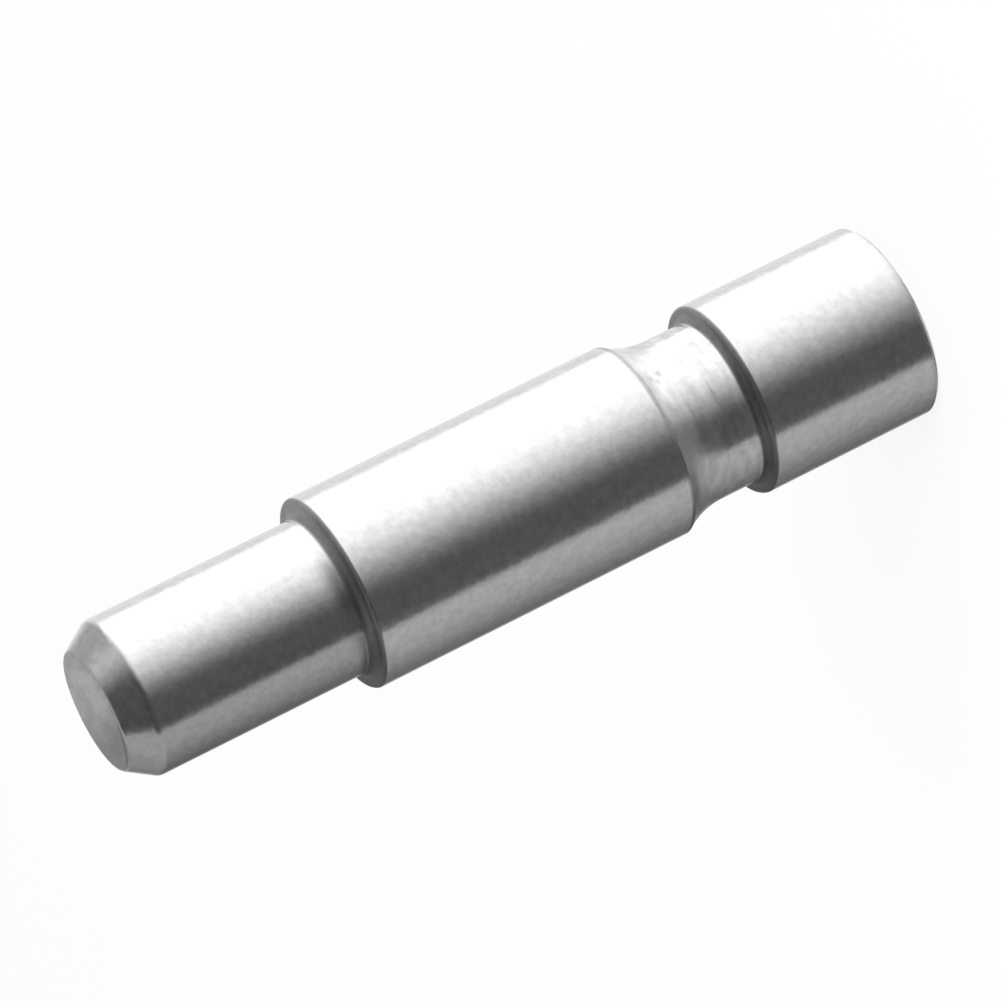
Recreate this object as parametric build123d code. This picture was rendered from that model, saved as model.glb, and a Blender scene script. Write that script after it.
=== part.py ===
from build123d import *
import math
import os

# Reel spool pin: one steel pin, turned from bar.
# It stands on the flat end of its head with the nose up. Z is its axis, and Z = 0 is the head's end face.
# From the bottom up it has the head, a groove, the land that the spool turns on, a shoulder and the spigot.
# Sizes are in millimetres, and angles in degrees.

# Diameters
land_diameter = 8.0
head_diameter = 8.0
neck_diameter = 6.8
spigot_diameter = 6.5

# Lengths along the axis, from the bottom up
head_length = 7.55
groove_width = 3.72
land_length = 13.82
spigot_length = 10.33

# Groove: a large round flank runs out into the neck on the land's side, a square shoulder closes the head's side
flank_radius = 3.5
groove_root_radius = 0.35
groove_crown_radius = 0.2

# Shoulder between the land and the spigot
shoulder_root_radius = 0.4
shoulder_crown_radius = 0.15

# Lead-in cone on the nose
lead_length = 1.2
lead_angle = 33.0
lead_blend_radius = 0.5
nose_edge_radius = 0.25

# Edges that the turner only breaks
head_edge_break = 0.14
land_edge_break = 0.05

# Two blends on one shoulder never use up more of its step than this share
shoulder_share = 0.98


def fitted_blends(root_radius, crown_radius, step):
    # Root and crown blends of one shoulder, drawn in together where its step is too low for both
    room = min(1.0, shoulder_share * step / (root_radius + crown_radius))
    return root_radius * room, crown_radius * room


def blended(section, corner, radius):
    # The half section with the corner nearest the given point rounded
    vertex = section.vertices().sort_by_distance(Vector(corner[0], 0, corner[1]))[0]
    return fillet(vertex, radius)


def broken(section, corner, size):
    # The half section with the corner nearest the given point cut at 45 degrees
    vertex = section.vertices().sort_by_distance(Vector(corner[0], 0, corner[1]))[0]
    return chamfer(vertex, size)


# Radii that the half section is drawn with
land_radius = land_diameter / 2
head_radius = head_diameter / 2
neck_radius = neck_diameter / 2
spigot_radius = spigot_diameter / 2
nose_radius = spigot_radius - lead_length * math.tan(math.radians(lead_angle))

# Heights of the steps above the head's end face
land_foot = head_length + groove_width
shoulder_height = land_foot + land_length
nose_height = shoulder_height + spigot_length
lead_foot = nose_height - lead_length

# The flank's arc is tangent to the neck and meets the land at its full radius
groove_depth = land_radius - neck_radius
flank_run_out = math.sqrt(flank_radius**2 - (flank_radius - groove_depth) ** 2)
flank_foot = land_foot - flank_run_out

groove_root, groove_crown = fitted_blends(
    groove_root_radius, groove_crown_radius, head_radius - neck_radius
)
shoulder_root, shoulder_crown = fitted_blends(
    shoulder_root_radius, shoulder_crown_radius, land_radius - spigot_radius
)

# Corners of the half section, as radius and height
head_edge = (head_radius, 0)
head_crown = (head_radius, head_length)
neck_root = (neck_radius, head_length)
neck_end = (neck_radius, flank_foot)
land_edge = (land_radius, land_foot)
land_crown = (land_radius, shoulder_height)
spigot_root = (spigot_radius, shoulder_height)
spigot_end = (spigot_radius, lead_foot)
nose_edge = (nose_radius, nose_height)

# Half section on the XZ plane
lower_outline = Polyline((0, 0), head_edge, head_crown, neck_root, neck_end)
flank = TangentArc(neck_end, land_edge, tangent=(0, 1))
upper_outline = Polyline(
    land_edge, land_crown, spigot_root, spigot_end, nose_edge, (0, nose_height)
)
centre_line = Line((0, nose_height), (0, 0))
section = Plane.XZ * make_face(lower_outline + flank + upper_outline + centre_line)

# Edge breaks and blends, each on its own corner
section = broken(section, head_edge, head_edge_break)
section = blended(section, head_crown, groove_crown)
section = blended(section, neck_root, groove_root)
section = blended(section, land_edge, land_edge_break)
section = blended(section, land_crown, shoulder_crown)
section = blended(section, spigot_root, shoulder_root)
section = blended(section, spigot_end, lead_blend_radius)
section = blended(section, nose_edge, nose_edge_radius)

spool_pin = revolve(section, Axis.Z)
spool_pin.label = "spool_pin"

os.makedirs("parts", exist_ok=True)
export_step(spool_pin, "parts/spool_pin.step")
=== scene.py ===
import bpy
import math
import numpy as np
from mathutils import Matrix, Vector


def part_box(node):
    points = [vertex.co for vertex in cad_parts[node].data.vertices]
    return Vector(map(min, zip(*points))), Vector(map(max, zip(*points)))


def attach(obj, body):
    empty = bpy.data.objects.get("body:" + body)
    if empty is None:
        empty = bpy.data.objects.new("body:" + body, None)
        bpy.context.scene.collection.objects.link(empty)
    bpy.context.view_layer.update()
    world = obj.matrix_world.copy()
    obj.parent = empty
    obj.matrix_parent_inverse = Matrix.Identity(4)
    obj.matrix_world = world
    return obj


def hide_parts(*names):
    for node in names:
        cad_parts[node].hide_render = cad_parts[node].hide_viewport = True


# One turned steel pin that stands on the flat end of its head, nose up.
# Lengths are in metres and angles in degrees. -Y is the camera's side,
# and a turn round the pin's axis counts from there, growing towards -X.

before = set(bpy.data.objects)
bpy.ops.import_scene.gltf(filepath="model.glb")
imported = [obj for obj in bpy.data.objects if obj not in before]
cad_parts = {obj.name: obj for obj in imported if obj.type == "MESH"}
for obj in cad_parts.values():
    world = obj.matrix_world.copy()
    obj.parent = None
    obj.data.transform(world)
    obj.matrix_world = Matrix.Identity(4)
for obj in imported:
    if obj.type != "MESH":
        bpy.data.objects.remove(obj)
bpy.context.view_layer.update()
pinNode = "spool_pin"
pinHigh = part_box(pinNode)[1]
print("frame loaded, the pin is", round(pinHigh.z * 1000, 2), "mm tall")


# Small helpers for node trees

def feed(tree, socket, value):
    if isinstance(value, bpy.types.NodeSocket):
        tree.links.new(value, socket)
    elif value is not None:
        socket.default_value = value


def mathNode(tree, operation, first, second=None):
    node = tree.nodes.new("ShaderNodeMath")
    node.operation = operation
    feed(tree, node.inputs[0], first)
    feed(tree, node.inputs[1], second)
    return node.outputs[0]


def timesNode(tree, first, second):
    return mathNode(tree, "MULTIPLY", first, second)


def rangeNode(tree, value, low, high, toLow, toHigh, soft=True):
    node = tree.nodes.new("ShaderNodeMapRange")
    node.interpolation_type = "SMOOTHSTEP" if soft else "LINEAR"
    for socket, given in zip(node.inputs[:5], (value, low, high, toLow, toHigh)):
        feed(tree, socket, given)
    return node.outputs[0]


def mixNode(tree, mask, outside, inside):
    # one value where the mask is 0, and the other where it is 1
    return rangeNode(tree, mask, 0, 1, outside, inside, soft=False)


def shadeNode(tree, factor, mask, shade):
    # the factor, multiplied by the shade where the mask is 1
    return timesNode(tree, factor, mixNode(tree, mask, 1, shade))


def nearNode(tree, value, middle, reach, soft):
    # 1 where the value is within reach of the middle, and 0 past the soft part
    away = mathNode(tree, "ABSOLUTE", mathNode(tree, "SUBTRACT", value, middle))
    return rangeNode(tree, away, reach, reach + soft, 1, 0)


def edgeNode(tree, value, middle, soft, toLow, toHigh):
    # a soft edge whose middle is another node's value
    start = mathNode(tree, "SUBTRACT", middle, soft)
    end = mathNode(tree, "ADD", middle, soft)
    return rangeNode(tree, value, start, end, toLow, toHigh)


def noiseNode(tree, vector, scale, detail):
    node = tree.nodes.new("ShaderNodeTexNoise")
    node.inputs["Scale"].default_value = scale
    node.inputs["Detail"].default_value = detail
    tree.links.new(vector, node.inputs["Vector"])
    return node.outputs["Fac"]


def vectorNode(tree, x, y, z=None):
    node = tree.nodes.new("ShaderNodeCombineXYZ")
    for socket, given in zip(node.inputs, (x, y, z)):
        feed(tree, socket, given)
    return node.outputs[0]


def splitNode(tree, vector):
    node = tree.nodes.new("ShaderNodeSeparateXYZ")
    tree.links.new(vector, node.inputs[0])
    return tuple(node.outputs)


def turnNode(tree, x, y):
    aside = timesNode(tree, x, -1)
    ahead = timesNode(tree, y, -1)
    return mathNode(tree, "DEGREES", mathNode(tree, "ARCTAN2", aside, ahead))


# The camera looks at the pin as the photo does: nose towards the lower left

cameraPlace = {
    "elevation": 17.72,     # above the pin's middle
    "roll": 26.37,          # of the pin's axis from the picture's level
    "distance": 0.24768,    # from the point on the axis that it aims at
    "aimHeight": 0.01739,
    "sideways": 0.000344,   # the axis passes just off the picture's middle
    "lens": 232.15,         # on a sensor 36 mm wide
    "clip": (0.01, 10.0),
}


def addCamera():
    elevation = math.radians(cameraPlace["elevation"])
    roll = math.radians(cameraPlace["roll"])
    back = Vector((0, -math.cos(elevation), math.sin(elevation)))
    levelRight = Vector((1, 0, 0))
    levelUp = back.cross(levelRight)
    right = -math.sin(roll) * levelRight - math.cos(roll) * levelUp
    up = back.cross(right)
    place = Vector((cameraPlace["sideways"], 0, cameraPlace["aimHeight"]))
    place += back * cameraPlace["distance"]
    data = bpy.data.cameras.new("camera")
    data.lens = cameraPlace["lens"]
    data.clip_start, data.clip_end = cameraPlace["clip"]
    camera = bpy.data.objects.new("camera", data)
    turn = Matrix((right, up, back)).transposed().to_4x4()
    camera.matrix_world = Matrix.Translation(place) @ turn
    bpy.context.scene.collection.objects.link(camera)
    bpy.context.scene.camera = camera


addCamera()
print("camera placed")


# The pin's own mesh: the half section turned about Z, finer than the frame's and with exact normals

pinSizes = {
    "headLength": 0.00755,
    "grooveWidth": 0.00372,
    "landLength": 0.01382,
    "neckRadius": 0.0034,
    "spigotRadius": 0.00325,
    "flankRadius": 0.0035,      # the groove's round side
    "headRoot": 0.00035,        # blends on the head's shoulder
    "headCrown": 0.0002,
    "spigotRoot": 0.0004,       # and on the spigot's
    "spigotCrown": 0.00015,
    "leadLength": 0.0012,       # the cone on the nose
    "leadAngle": 33.0,
    "leadBlend": 0.0005,
    "noseBlend": 0.00025,
    "headBreak": 0.00014,
    "landBreak": 0.00005,
    "around": 288,              # corners in one ring
    "wallStep": 0.0005,         # between rings on straight walls
    "arcStep": 0.000018,        # between rings on small blends
    "flankStep": 0.00003,
}


def pinHeights():
    # of the head's shoulder, the land's lower edge and the spigot's shoulder
    head = pinSizes["headLength"]
    landFoot = head + pinSizes["grooveWidth"]
    return head, landFoot, landFoot + pinSizes["landLength"]


def straight(start, end, step):
    # rings from start to end, each as radius, height and the outward normal
    run = np.array(end, float) - np.array(start, float)
    length = np.hypot(*run)
    share = np.linspace(0, 1, max(2, round(length / step) + 1))[:, None]
    normal = np.array((run[1], -run[0])) / length
    return np.hstack((start + share * run, np.tile(normal, (len(share), 1))))


def arc(centre, radius, fromTilt, toTilt, step, hollow=False):
    # tilt is how far the outward normal points up
    length = radius * math.radians(abs(toTilt - fromTilt))
    tilt = np.radians(np.linspace(fromTilt, toTilt, max(3, round(length / step) + 1)))
    normal = np.stack((np.cos(tilt), np.sin(tilt)), 1)
    return np.hstack((np.array(centre) + (-radius if hollow else radius) * normal, normal))


def halfSection():
    p = pinSizes
    wall, fine = p["wallStep"], p["arcStep"]
    land = round(pinHigh.x, 6)      # the frame's own radius, to a micrometre
    top = pinHigh.z
    head, landFoot, shoulder = pinHeights()
    neck, spigot = p["neckRadius"], p["spigotRadius"]
    root, crown = p["headRoot"], p["headCrown"]
    spigotRoot, spigotCrown = p["spigotRoot"], p["spigotCrown"]
    bevel, edge = p["headBreak"], p["landBreak"]

    # the flank starts on the neck and its arc would meet the land at full size
    flank = p["flankRadius"]
    flankX = neck + flank
    flankFoot = landFoot - math.sqrt(flank**2 - (flankX - land) ** 2)
    edgeX = land - edge
    edgeZ = flankFoot + math.sqrt((flank + edge) ** 2 - (flankX - edgeX) ** 2)
    edgeTilt = -math.degrees(math.atan2(edgeZ - flankFoot, flankX - edgeX))

    # where the cone's two blends touch
    coneFoot = top - p["leadLength"]
    noseRadius = spigot - p["leadLength"] * math.tan(math.radians(p["leadAngle"]))
    coneBlend, noseBlend = p["leadBlend"], p["noseBlend"]
    coneTurn = coneBlend * math.tan(math.radians(p["leadAngle"] / 2))
    noseTurn = noseBlend * math.tan(math.radians((90 - p["leadAngle"]) / 2))
    coneStart = (spigot - coneBlend, coneFoot - coneTurn)
    noseStart = (noseRadius - noseTurn, top - noseBlend)

    spans = [
        straight((0, 0), (land - bevel, 0), wall),
        straight((land - bevel, 0), (land, bevel), fine),
        straight((land, bevel), (land, head - crown), wall),
        arc((land - crown, head - crown), crown, 0, 90, fine),
        straight((land - crown, head), (neck + root, head), fine),
        arc((neck + root, head + root), root, 90, 0, fine, hollow=True),
        straight((neck, head + root), (neck, flankFoot), wall),
        arc((flankX, flankFoot), flank, 0, edgeTilt, p["flankStep"], hollow=True),
        arc((edgeX, edgeZ), edge, edgeTilt, 0, fine),
        straight((land, edgeZ), (land, shoulder - spigotCrown), wall),
        arc((land - spigotCrown, shoulder - spigotCrown), spigotCrown, 0, 90, fine),
        straight((land - spigotCrown, shoulder), (spigot + spigotRoot, shoulder), fine),
        arc((spigot + spigotRoot, shoulder + spigotRoot), spigotRoot, 90, 0, fine, hollow=True),
        straight((spigot, shoulder + spigotRoot), (spigot, coneStart[1]), wall),
        arc(coneStart, coneBlend, 0, p["leadAngle"], fine),
    ]
    coneTop = arc(noseStart, noseBlend, p["leadAngle"], 90, fine)
    spans.append(straight(spans[-1][-1, :2], coneTop[0, :2], wall))
    spans.append(coneTop)
    spans.append(straight((noseStart[0], top), (0, top), wall))
    return spans


def turnedMesh(name, spans, around):
    angle = np.arange(around) * 2 * math.pi / around
    across, along = np.cos(angle), np.sin(angle)

    # each band between two rings keeps its own normals, so that the edges stay crisp
    rings, bands = [], []
    for span in spans:
        first = len(rings) - 1 if rings else 0
        rings.extend(span[1 if rings else 0:])
        for k in range(len(span) - 1):
            bands.append((first + k, span[k, 2:], span[k + 1, 2:]))
    rings = np.array(rings)
    radius, height = rings[:, 0, None], rings[:, 1, None]
    points = np.stack((radius * across, radius * along, np.repeat(height, around, 1)), 2)

    # the first and the last ring are single points on the axis
    points = np.vstack((points[0, :1], points[1:-1].reshape(-1, 3), points[-1, :1]))
    last = len(rings) - 1

    def corner(ring, column):
        if ring == 0:
            return np.zeros(around, int)
        if ring == last:
            return np.full(around, len(points) - 1)
        return 1 + (ring - 1) * around + column % around

    column = np.arange(around)
    corners, counts, normals = [], [], []
    for low, normalLow, normalHigh in bands:
        quad = [
            (low, column, normalLow),
            (low, column + 1, normalLow),
            (low + 1, column + 1, normalHigh),
            (low + 1, column, normalHigh),
        ]
        if low == 0:
            quad = quad[1:]
        if low + 1 == last:
            quad = quad[:3]
        corners.append(np.stack([corner(ring, k) for ring, k, _ in quad], 1).ravel())
        turned = [
            np.stack((n[0] * across[k % around], n[0] * along[k % around], np.full(around, n[1])), 1)
            for _, k, n in quad
        ]
        normals.append(np.stack(turned, 1).reshape(-1, 3))
        counts.append(np.full(around, len(quad)))
    corners, counts = np.concatenate(corners), np.concatenate(counts)

    mesh = bpy.data.meshes.new(name)
    mesh.vertices.add(len(points))
    mesh.vertices.foreach_set("co", points.ravel())
    mesh.loops.add(len(corners))
    mesh.loops.foreach_set("vertex_index", corners)
    mesh.polygons.add(len(counts))
    mesh.polygons.foreach_set("loop_start", np.concatenate(([0], np.cumsum(counts)[:-1])))
    mesh.update(calc_edges=True)
    mesh.normals_split_custom_set(np.concatenate(normals))
    return mesh


# Fine turned steel: blurred along the axis, sharp around it.
# A shade multiplies the colour: below 1 it darkens the steel, and above 1 it brightens it.
# A noise is given as its features in a metre and its detail.

steelFinish = {
    "colour": (0.72, 0.72, 0.725, 1),
    "mottle": 0.08,                     # share by which the colour varies
    "mottleNoise": (3100, 2),
    "mottleShare": 0.8,                 # of the mottle in that, and fine streaks for the rest
    "streakNoise": (9000, 2),
    "streakSqueeze": 0.12,              # round the pin, which draws the noise out into rings
    "noiseSpan": (0.35, 0.65),          # the part of a noise's range that is used
    "noiseSpanWide": (0.3, 0.7),
    "roughness": 0.22,
    "roughnessVary": 0.02,              # either way
    "anisotropy": 0.55,
    "anisotropyTurn": 0.25,             # of a whole turn
    "bump": 0.0000045,                  # height of the mottle
    "bumpStreaks": 0.12,                # and the streaks' share of it

    # the groove: its round side is matt from the form tool, and darkens towards the land's edge
    "flankFrom": (0.00897, 0.00957),    # heights
    "flankTo": (0.01125, 0.01129),
    "flankRoughness": 0.3,
    "flankShade": 0.88,
    "flankShadeRun": 0.0007,            # below the land's edge
    "grooveStreaks": 0.13,              # share by which the tool marks vary
    "grooveNoise": (2600, 3),
    "grooveSqueeze": 0.3,

    # the shoulders are dull, and painted shade makes them darker than the walls
    "headShoulderPaintedShade": 0.5,
    "spigotShoulderPaintedShade": 0.56,
    "shadeRun": 0.001,                  # from one to the other, above the land's lower edge
    "shoulderRoughness": 0.5,
    "crownShares": (0.95, 0.4),         # where the dullness starts, in crown radii below the flat
    "headDullTo": 0.00031,              # and where it ends, in heights above the flat
    "spigotDullTo": 0.0004,
    "cornerShares": (0.05, 0.6),        # of those heights, where the corner at the foot is darker
    # painted shade makes the foot of each shoulder darker still
    "cornerPaintedShade": 0.76,
    "sidePaintedShade": 0.42,                    # painted shade darkens the -X side further
    "sidePaintedShadeFrom": (15.0, 62.0),        # turns
    "sidePaintedShadeTo": (115.0, 150.0),
    "paintedShadeLiftsBehind": (108.0, 150.0),      # the painted shade lifts to this on the far side
    "shadeBehind": 0.9,
    "shoulderPaintedLight": 1.35,             # and painted light brightens the +X side
    "paintedLightAcross": (0.0022, 0.0034),

    # the land's lower edge, which the turner only broke, has a darker line: lighter in front, and darker
    # again further round towards -X
    "landEdge": {"above": 0.00003, "reach": 0.00003, "soft": 0.00011},
    "landEdgeShade": 0.6,
    "landEdgeParts": (
        {"turn": 14.0, "wide": 4.0, "soft": 24.0, "shade": 1.8},
        {"turn": 72.0, "wide": 14.0, "soft": 12.0, "shade": 0.6},
    ),

    # the head's bevelled rim and the steel just above it, but not the flat end: a little darker, with a
    # painted reflection lighter in front
    "rimTo": (0.0002, 0.00034),         # heights
    "rimFrom": (0.0036, 0.0038),        # radii
    "rimShade": 0.9,
    "rimPaintedReflection": (
        {"turn": 16.0, "wide": 6.0, "soft": 12.0, "shade": 1.5},
    ),

    # painted shade on the spigot: on its -X side, and in soft patches up against the shoulder
    "spigotSideFrom": (0.00026, 0.0004),      # heights above the shoulder
    "spigotSideAcross": (-0.001, -0.0018),
    "spigotSidePaintedShade": 0.8,
    "rootPaintedShades": (                         # full and gone are heights above the shoulder too
        {"full": 0.0005, "gone": 0.0012, "turn": -4.0, "wide": 6.0, "soft": 25.0, "shade": 0.42},
        {"full": 0.0005, "gone": 0.0012, "turn": 35.0, "wide": 3.0, "soft": 11.0, "shade": 0.75},
        {"full": 0.00035, "gone": 0.0008, "turn": 62.0, "wide": 10.0, "soft": 28.0, "shade": 0.42},
    ),

    # the nose's flat end is cloudy, and painted shade darkens it towards -X
    "noseFrom": (0.00006, 0.00002),     # below the end
    "noseCloud": (0.83, 1.085),         # shades of the clouds
    "cloudNoise": (1100, 3),
    "cloudSqueeze": 0.35,
    "nosePaintedShade": 0.53,
    "nosePaintedShadeAcross": (-0.0013, 0.0004),
}

# Marks from use and handling in the groove, then painted light and painted shade on the flank just below
# the land's edge: heights and half heights in millimetres, turns and half widths.
# Soft is how far a mark fades out past its half sizes, as a share of them.

marksAndPaintedShading = [
    {"height": 10.86, "turn": -31.4, "tall": 0.1, "wide": 2.0, "soft": 0.9, "shade": 0.8},
    {"height": 10.41, "turn": -34.6, "tall": 0.1, "wide": 2.2, "soft": 0.9, "shade": 0.66},
    {"height": 10.62, "turn": -28.2, "tall": 0.09, "wide": 1.8, "soft": 0.9, "shade": 0.8},
    {"height": 10.04, "turn": -2.0, "tall": 0.05, "wide": 7.0, "soft": 1.2, "shade": 0.84},
    {"height": 8.91, "turn": -8.0, "tall": 0.05, "wide": 6.5, "soft": 1.2, "shade": 0.74},
    {"height": 10.82, "turn": -9.0, "tall": 0.12, "wide": 3.0, "soft": 1.2, "shade": 0.88},
    # painted light in front, then painted shade towards -X, on the flank just below the land's edge
    {"height": 11.05, "turn": 3.0, "tall": 0.2, "wide": 8.0, "soft": 0.9, "shade": 1.17},
    {"height": 11.0, "turn": 29.0, "tall": 0.22, "wide": 12.0, "soft": 0.7, "shade": 0.88},
    {"height": 11.08, "turn": 42.0, "tall": 0.2, "wide": 14.0, "soft": 0.6, "shade": 0.66},
]
markCore = 0.3      # the share of a mark's half sizes that is at full strength


def shoulderMasks(tree, height):
    # 1 on both shoulders, and 1 in the corner at the foot of each
    f = steelFinish
    head, _, step = pinHeights()
    crownLow, crownHigh = f["crownShares"]
    cornerLow, cornerHigh = f["cornerShares"]
    rings, corners = [], []
    for foot, crown, dullTo in (
        (head, pinSizes["headCrown"], f["headDullTo"]),
        (step, pinSizes["spigotCrown"], f["spigotDullTo"]),
    ):
        started = rangeNode(tree, height, foot - crown * crownLow, foot - crown * crownHigh, 0, 1)
        ended = rangeNode(tree, height, foot + dullTo * cornerHigh, foot + dullTo, 1, 0)
        inCorner = rangeNode(tree, height, foot + dullTo * cornerLow, foot + dullTo * cornerHigh, 0, 1)
        rings.append(timesNode(tree, started, ended))
        corners.append(timesNode(tree, rings[-1], inCorner))
    return mathNode(tree, "ADD", *rings), mathNode(tree, "ADD", *corners)


# painted shade on the shoulders: darker towards -X, lifted on the far side, with painted light on the +X
# side
def shoulderPaintedShade(tree, x, height, turn):
    f = steelFinish
    landFoot = pinHeights()[1]
    shade = rangeNode(
        tree, height, landFoot, landFoot + f["shadeRun"], f["headShoulderPaintedShade"], f["spigotShoulderPaintedShade"], soft=False
    )
    # painted shade on the -X side, lifted on the far side, with painted light on the +X side
    paintedSide = rangeNode(tree, turn, *f["sidePaintedShadeFrom"], 1, f["sidePaintedShade"])
    paintedSide = rangeNode(tree, turn, *f["sidePaintedShadeTo"], paintedSide, 1)
    shade = timesNode(tree, shade, paintedSide)
    away = mathNode(tree, "ABSOLUTE", turn)
    shade = rangeNode(tree, away, *f["paintedShadeLiftsBehind"], shade, f["shadeBehind"])
    return timesNode(tree, shade, rangeNode(tree, x, *f["paintedLightAcross"], 1, f["shoulderPaintedLight"]))


def shadeGroove(tree, factor, height, toolMarks):
    f = steelFinish
    head, landFoot, _ = pinHeights()
    above = mathNode(tree, "GREATER_THAN", height, head)
    below = mathNode(tree, "LESS_THAN", height, landFoot)
    shade = rangeNode(
        tree, toolMarks, *f["noiseSpanWide"], 1 - f["grooveStreaks"], 1 + f["grooveStreaks"]
    )
    flank = rangeNode(tree, height, landFoot - f["flankShadeRun"], landFoot, 1, f["flankShade"])
    return shadeNode(tree, factor, timesNode(tree, above, below), timesNode(tree, shade, flank))


def shadeEdges(tree, factor, radius, height, turn):
    f = steelFinish
    landFoot = pinHeights()[1]
    line = f["landEdge"]
    landEdge = nearNode(tree, height, landFoot + line["above"], line["reach"], line["soft"])
    rim = timesNode(
        tree,
        rangeNode(tree, height, *f["rimTo"], 1, 0),
        rangeNode(tree, radius, *f["rimFrom"], 0, 1),
    )
    # the rim's lighter part in front is a painted reflection
    for edge, shade, parts in (
        (landEdge, f["landEdgeShade"], f["landEdgeParts"]),
        (rim, f["rimShade"], f["rimPaintedReflection"]),
    ):
        for part in parts:
            here = nearNode(tree, turn, part["turn"], part["wide"], part["soft"])
            shade = shadeNode(tree, shade, here, part["shade"])
        factor = shadeNode(tree, factor, edge, shade)
    return factor


def shadeNose(tree, factor, x, height, clouds):
    f = steelFinish
    low, high = f["noseFrom"]
    nose = rangeNode(tree, height, pinHigh.z - low, pinHigh.z - high, 0, 1)
    cloud = rangeNode(tree, clouds, *f["noiseSpan"], *f["noseCloud"])
    # painted shade towards -X
    cloud = timesNode(tree, cloud, rangeNode(tree, x, *f["nosePaintedShadeAcross"], f["nosePaintedShade"], 1))
    return shadeNode(tree, factor, nose, cloud)


def shadeSpigot(tree, factor, x, height, turn):
    f = steelFinish
    step = pinHeights()[2]
    low, high = f["spigotSideFrom"]
    onSpigot = rangeNode(tree, height, step + low, step + high, 0, 1)
    # painted shade on the spigot's -X side
    factor = shadeNode(tree, factor, onSpigot, rangeNode(tree, x, *f["spigotSideAcross"], 1, f["spigotSidePaintedShade"]))
    # painted shade in soft patches at the spigot's root
    for rootShade in f["rootPaintedShades"]:
        rootShaded = timesNode(
            tree,
            rangeNode(tree, height, step + rootShade["full"], step + rootShade["gone"], onSpigot, 0),
            nearNode(tree, turn, rootShade["turn"], rootShade["wide"], rootShade["soft"]),
        )
        factor = shadeNode(tree, factor, rootShaded, rootShade["shade"])
    return factor


# real marks, and painted light and shade on the flank
def shadeMarksAndPaintedShading(tree, factor, height, turn):
    for mark in marksAndPaintedShading:
        fade = 1 - markCore + mark["soft"]
        tall, wide = mark["tall"] / 1000, mark["wide"]
        spot = timesNode(
            tree,
            nearNode(tree, height, mark["height"] / 1000, tall * markCore, tall * fade),
            nearNode(tree, turn, mark["turn"], wide * markCore, wide * fade),
        )
        factor = shadeNode(tree, factor, spot, mark["shade"])
    return factor


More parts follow.
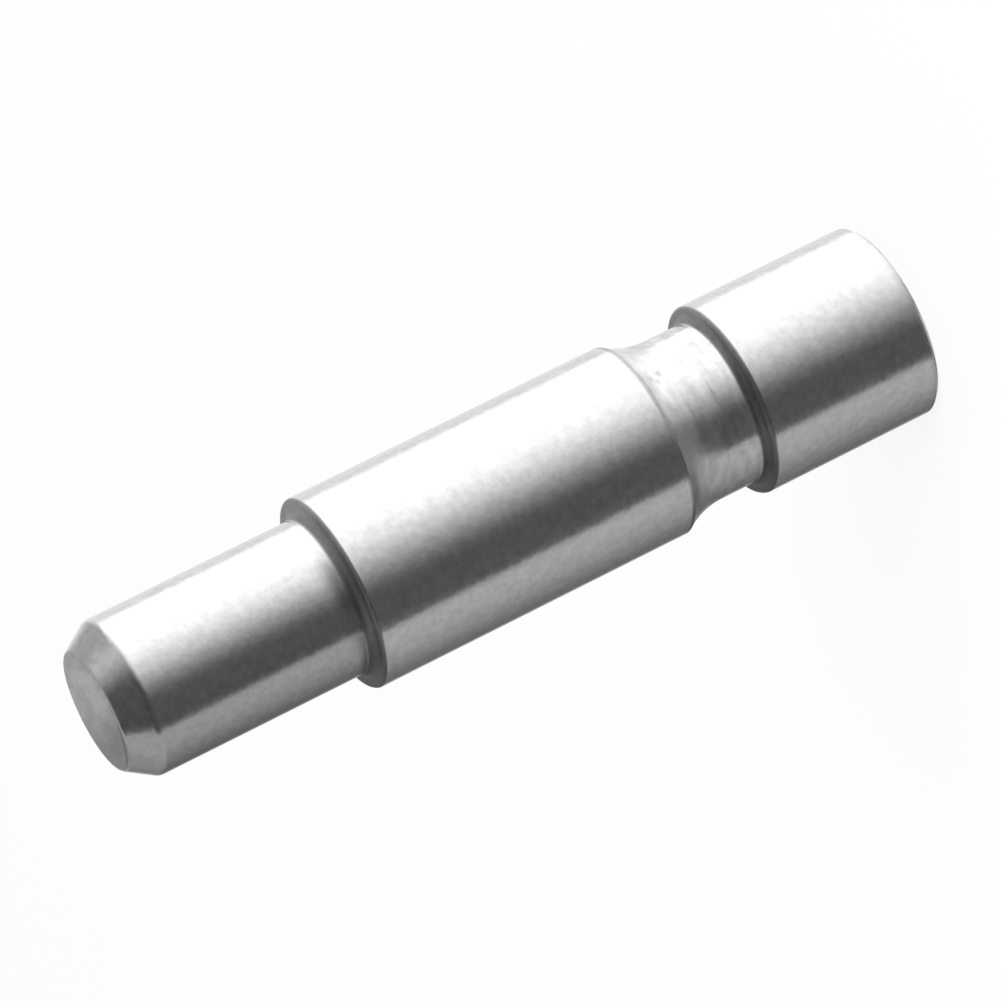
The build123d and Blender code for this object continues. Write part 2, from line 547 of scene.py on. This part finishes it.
def steelMaterial():
    f = steelFinish
    material = bpy.data.materials.new("steel")
    material.use_nodes = True
    tree = material.node_tree
    shader = tree.nodes["Principled BSDF"]
    shader.inputs["Metallic"].default_value = 1
    shader.inputs["Anisotropic"].default_value = f["anisotropy"]
    shader.inputs["Anisotropic Rotation"].default_value = f["anisotropyTurn"]
    tangent = tree.nodes.new("ShaderNodeTangent")
    tangent.direction_type = "RADIAL"
    tangent.axis = "Z"
    tree.links.new(tangent.outputs[0], shader.inputs["Tangent"])

    place = tree.nodes.new("ShaderNodeTexCoord").outputs["Object"]
    x, y, height = splitNode(tree, place)
    turn = turnNode(tree, x, y)
    radius = mathNode(tree, "SQRT", mathNode(
        tree, "ADD", mathNode(tree, "POWER", x, 2), mathNode(tree, "POWER", y, 2)
    ))

    # noise that is squeezed round the pin and runs on along the half section makes rings
    along = mathNode(tree, "SUBTRACT", height, radius)
    ringPlaces = [
        vectorNode(tree, timesNode(tree, x, squeeze), timesNode(tree, y, squeeze), along)
        for squeeze in (f["streakSqueeze"], f["grooveSqueeze"])
    ]
    mottle = noiseNode(tree, place, *f["mottleNoise"])
    streaks = noiseNode(tree, ringPlaces[0], *f["streakNoise"])
    toolMarks = noiseNode(tree, ringPlaces[1], *f["grooveNoise"])
    cloudPlace = vectorNode(tree, x, timesNode(tree, y, f["cloudSqueeze"]))
    clouds = noiseNode(tree, cloudPlace, *f["cloudNoise"])
    fine = mathNode(
        tree, "ADD",
        timesNode(tree, mottle, f["mottleShare"]),
        timesNode(tree, streaks, 1 - f["mottleShare"]),
    )

    # one grey factor for the shoulders' painted shade, the groove, the edges, the nose, the spigot's
    # painted shade and the marks
    shoulders, corners = shoulderMasks(tree, height)
    factor = mixNode(tree, shoulders, 1, shoulderPaintedShade(tree, x, height, turn))
    factor = shadeNode(tree, factor, corners, f["cornerPaintedShade"])
    factor = shadeGroove(tree, factor, height, toolMarks)
    factor = shadeEdges(tree, factor, radius, height, turn)
    factor = shadeNose(tree, factor, x, height, clouds)
    factor = shadeSpigot(tree, factor, x, height, turn)
    factor = shadeMarksAndPaintedShading(tree, factor, height, turn)

    colour = tree.nodes.new("ShaderNodeMix")
    colour.data_type = "RGBA"
    feed(tree, colour.inputs[0], rangeNode(tree, fine, *f["noiseSpan"], 0, 1, soft=False))
    for socket, share in ((colour.inputs[6], 1 - f["mottle"]), (colour.inputs[7], 1 + f["mottle"])):
        socket.default_value = [part * share for part in f["colour"][:3]] + [1]
    marked = tree.nodes.new("ShaderNodeVectorMath")
    marked.operation = "SCALE"
    tree.links.new(colour.outputs[2], marked.inputs[0])
    feed(tree, marked.inputs["Scale"], factor)
    tree.links.new(marked.outputs[0], shader.inputs["Base Color"])

    flank = timesNode(
        tree,
        rangeNode(tree, height, *f["flankFrom"], 0, 1),
        rangeNode(tree, height, *f["flankTo"], 1, 0),
    )
    dull = mixNode(tree, flank, f["roughness"], f["flankRoughness"])
    dull = mixNode(tree, shoulders, dull, f["shoulderRoughness"])
    vary = f["roughnessVary"]
    uneven = rangeNode(tree, fine, *f["noiseSpanWide"], -vary, vary, soft=False)
    feed(tree, shader.inputs["Roughness"], mathNode(tree, "ADD", dull, uneven))

    bump = tree.nodes.new("ShaderNodeBump")
    bump.inputs["Distance"].default_value = f["bump"]
    relief = mathNode(tree, "ADD", mottle, timesNode(tree, streaks, f["bumpStreaks"]))
    feed(tree, bump.inputs["Height"], relief)
    tree.links.new(bump.outputs[0], shader.inputs["Normal"])
    return material


def addPin():
    mesh = turnedMesh("turnedPin", halfSection(), pinSizes["around"])
    mesh.materials.append(steelMaterial())
    pin = bpy.data.objects.new("turned_pin", mesh)
    bpy.context.scene.collection.objects.link(pin)
    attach(pin, "root")
    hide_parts(pinNode)
    print("pin turned,", len(mesh.polygons), "faces")


addPin()


# A white floor, which the camera sees as plain white with the pin's soft shadow

floorLook = {
    "size": 4.0,
    "colour": (0.97, 0.97, 0.97, 1),
    "whiteShare": 0.85,     # of plain white in what the camera sees
}


def addFloor():
    half = floorLook["size"] / 2
    points = [(-half, -half, 0), (half, -half, 0), (half, half, 0), (-half, half, 0)]
    mesh = bpy.data.meshes.new("floor")
    mesh.from_pydata(points, [], [(0, 1, 2, 3)])
    floor = bpy.data.objects.new("floor", mesh)
    bpy.context.scene.collection.objects.link(floor)
    floor.visible_glossy = False        # the metal shows the light tent instead
    material = bpy.data.materials.new("floorWhite")
    material.use_nodes = True
    tree = material.node_tree
    tree.nodes.remove(tree.nodes["Principled BSDF"])
    diffuse = tree.nodes.new("ShaderNodeBsdfDiffuse")
    diffuse.inputs["Color"].default_value = floorLook["colour"]
    glow = tree.nodes.new("ShaderNodeEmission")
    seen = tree.nodes.new("ShaderNodeLightPath").outputs["Is Camera Ray"]
    mix = tree.nodes.new("ShaderNodeMixShader")
    feed(tree, mix.inputs[0], timesNode(tree, seen, floorLook["whiteShare"]))
    tree.links.new(diffuse.outputs[0], mix.inputs[1])
    tree.links.new(glow.outputs[0], mix.inputs[2])
    tree.links.new(mix.outputs[0], tree.nodes["Material Output"].inputs["Surface"])
    mesh.materials.append(material)
    print("floor laid")


addFloor()


# The light tent round the pin, which its metal shows. A big white panel stands on the +X side,
# a dark gap faces the camera, and a grey panel stands on the -X side. Azimuths count as turns do,
# and heights are angles above the level. An edge that is marked low and high leans over leanSpan.

lightTent = {
    "plainLevel": 0.7,              # what lights the floor, with the lamp
    "leanSpan": (-18.0, 42.0),      # heights

    "white": 1.52,
    "whiteAbove": 0.74,             # the white panel's upper part
    "whiteTop": (-8.0, 26.0),       # heights between which it turns
    "fadeLow": (-67.0, 26.0),       # the panel fades out between these azimuths, low down
    "fadeHigh": (-93.0, -11.0),     # and high up
    "backShare": 0.6,               # of the white panel's light behind its edge
    "backAbove": 0.44,              # the same part above the pin's level
    "backTop": (-6.0, 12.0),        # heights between which it turns
    "backEdge": (-131.0, -81.0),    # low and high
    "backEdgeSoft": 5.0,
    "backBlend": (156.0, 180.0),    # where the grey side turns into the white panel's back

    "dark": 0.10,
    "darkAbove": 0.07,
    "darkTop": (-8.0, 20.0),

    "grey": 0.52,
    "greyFar": 0.15,
    "greyEdge": (64.0, 72.0),       # low and high
    "greyEdgeSoft": 1.0,
    "greyFade": (68.0, 158.0),
    "greyBehind": (100.0, 174.0),   # the same fade at the pin's own level
    "greyLevel": (-10.0, 2.0),      # heights between which it turns
    "greyAbove": 0.48,
    "greyAboveFar": 0.4,
    "greyAboveFade": (108.0, 120.0),
    "greyTop": (13.0, 21.0),        # heights between which the upper part starts
    "greyTopAt": 127.0,             # at this azimuth,
    "greyTopSlope": 0.5,            # and this much lower for each degree further back

    "underTop": (-66.0, -42.0),     # heights between which the walls end
    "underWhite": 1.34,             # towards the floor, on the +X side,
    "underDark": 0.22,              # in the gap
    "underGrey": 0.34,              # and on the -X side
    "underFade": (-67.0, 22.0),
    "underGreyEdge": (58.0, 76.0),
    "underBack": 0.3,               # behind the pin, up to this height
    "underBackTop": (-68.0, -50.0),
    "underBackEdge": (-158.0, -146.0),

    "overhead": 0.24,               # in front
    "overheadBack": 0.5,            # and behind
    "overheadEdge": (84.0, 124.0),
    "overheadFrom": (50.0, 75.0),   # heights between which it starts
}


def tentLight(tree, direction):
    t = lightTent
    x, y, z = splitNode(tree, direction)
    azimuth = turnNode(tree, x, y)
    height = mathNode(tree, "DEGREES", mathNode(tree, "ARCSINE", z))
    lift = rangeNode(tree, height, *t["leanSpan"], 0, 1, soft=False)

    white = rangeNode(tree, height, *t["whiteTop"], t["white"], t["whiteAbove"])
    behind = rangeNode(tree, height, *t["backTop"], t["white"] * t["backShare"], t["backAbove"])
    dark = rangeNode(tree, height, *t["darkTop"], t["dark"], t["darkAbove"])
    backEdge = mixNode(tree, lift, *t["backEdge"])
    side = edgeNode(tree, azimuth, backEdge, t["backEdgeSoft"], behind, white)
    fade = [mixNode(tree, lift, low, high) for low, high in zip(t["fadeLow"], t["fadeHigh"])]
    side = rangeNode(tree, azimuth, *fade, side, dark)

    level = rangeNode(tree, height, *t["greyLevel"], 0, 1)
    fade = [mixNode(tree, level, low, high) for low, high in zip(t["greyFade"], t["greyBehind"])]
    grey = rangeNode(tree, azimuth, *fade, t["grey"], t["greyFar"])
    above = rangeNode(tree, azimuth, *t["greyAboveFade"], t["greyAbove"], t["greyAboveFar"])
    slope = timesNode(tree, mathNode(tree, "SUBTRACT", azimuth, t["greyTopAt"]), t["greyTopSlope"])
    grey = rangeNode(tree, mathNode(tree, "ADD", height, slope), *t["greyTop"], grey, above)
    grey = rangeNode(tree, azimuth, *t["backBlend"], grey, behind)
    greyEdge = mixNode(tree, lift, *t["greyEdge"])
    walls = edgeNode(tree, azimuth, greyEdge, t["greyEdgeSoft"], side, grey)

    behindLow = rangeNode(tree, height, *t["underBackTop"], t["underBack"], t["underWhite"])
    under = rangeNode(tree, azimuth, *t["underBackEdge"], behindLow, t["underWhite"])
    under = rangeNode(tree, azimuth, *t["underFade"], under, t["underDark"])
    under = rangeNode(tree, azimuth, *t["underGreyEdge"], under, t["underGrey"])
    under = rangeNode(tree, azimuth, *t["backBlend"], under, behindLow)
    walls = rangeNode(tree, height, *t["underTop"], under, walls)

    away = mathNode(tree, "ABSOLUTE", azimuth)
    overhead = rangeNode(tree, away, *t["overheadEdge"], t["overhead"], t["overheadBack"])
    return rangeNode(tree, height, *t["overheadFrom"], walls, overhead)


softLamp = {
    "power": 1.5,
    "size": 0.3,
    "distance": 0.6,
    "elevation": 52.0,
    "azimuth": -35.0,           # from the camera's side, towards +X
}


def addLamp():
    # it shades the floor only: the metal shows the light tent
    elevation = math.radians(softLamp["elevation"])
    azimuth = math.radians(softLamp["azimuth"])
    level = math.cos(elevation)
    away = Vector((-math.sin(azimuth) * level, -math.cos(azimuth) * level, math.sin(elevation)))
    data = bpy.data.lights.new("softLamp", "AREA")
    data.shape = "DISK"
    data.size = softLamp["size"]
    data.energy = softLamp["power"]
    lamp = bpy.data.objects.new("softLamp", data)
    lamp.location = away * softLamp["distance"]
    lamp.rotation_euler = away.to_track_quat("Z", "Y").to_euler()
    lamp.visible_glossy = False
    bpy.context.scene.collection.objects.link(lamp)
    print("lamp hung")


addLamp()


def addLight():
    world = bpy.data.worlds.new("lightTent")
    world.use_nodes = True
    bpy.context.scene.world = world
    world.cycles.sampling_method = "NONE"       # so that each ray's own kind is known
    tree = world.node_tree
    path = tree.nodes.new("ShaderNodeLightPath")
    direction = tree.nodes.new("ShaderNodeTexCoord").outputs["Generated"]
    tent = tentLight(tree, direction)
    shiny = mathNode(tree, "MAXIMUM", path.outputs["Is Glossy Ray"], path.outputs["Is Transmission Ray"])
    level = mixNode(tree, shiny, lightTent["plainLevel"], tent)
    level = mixNode(tree, path.outputs["Is Camera Ray"], level, 1)
    feed(tree, tree.nodes["Background"].inputs["Strength"], level)
    feed(tree, tree.nodes["Background"].inputs["Color"], (1, 1, 1, 1))
    print("light tent set up")


addLight()

bpy.context.scene.view_settings.view_transform = "Standard"
